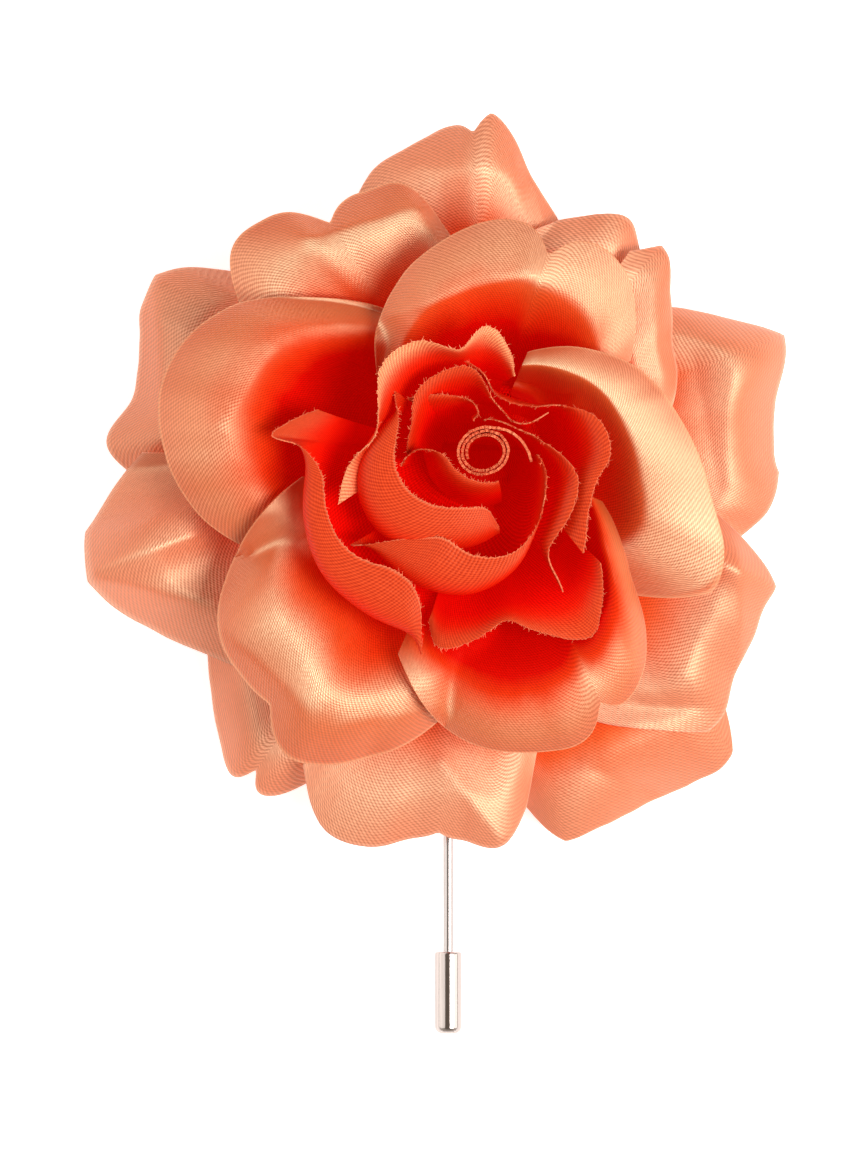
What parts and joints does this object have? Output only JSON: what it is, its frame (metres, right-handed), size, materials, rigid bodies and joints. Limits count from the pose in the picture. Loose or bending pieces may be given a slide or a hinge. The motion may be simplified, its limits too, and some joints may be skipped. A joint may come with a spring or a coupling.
{
  "type": "flower lapel pin",
  "caption": "Large satin rose with rolled outer petals and a tight frayed centre on a straight needle with a push-on end cap.",
  "frame": {"origin": "middle of the whole pin seen from above, on the surface it lies on", "axes": "+Z out of the flower's face, away from the surface; +Y away from the needle's point, so the needle runs toward -Y; +X to the right with the flower facing you and the needle pointing down"},
  "size_m": [0.0828, 0.1094, 0.0314],
  "materials": {
    "satin": "soft sheen",
    "felt": "matte",
    "steel": "polished"
  },
  "bodies": {
    "flower": {"pin": "steel", "felt_back": "felt", "heart": "satin", "roll": "satin", "outer_petal_1": "satin", "outer_petal_2": "satin", "outer_petal_3": "satin", "outer_petal_4": "satin", "outer_petal_5": "satin", "outer_petal_6": "satin", "outer_petal_7": "satin", "outer_petal_8": "satin", "outer_petal_9": "satin", "outer_petal_10": "satin", "middle_petal_1": "satin", "middle_petal_2": "satin", "middle_petal_3": "satin", "middle_petal_4": "satin", "middle_petal_5": "satin", "middle_petal_6": "satin", "inner_petal_1": "satin", "inner_petal_2": "satin", "inner_petal_3": "satin", "inner_petal_4": "satin", "small_petal_1": "satin", "small_petal_2": "satin", "small_petal_3": "satin", "small_petal_4": "satin", "small_petal_5": "satin", "small_petal_6": "satin"},
    "cap": {"cap": "steel"}
  },
  "joints": [
    {"name": "cap_pull", "type": "slide", "parent": "flower", "child": "cap", "axis": [0, -1, 0], "range_m": [0, 0.03]}
  ]
}
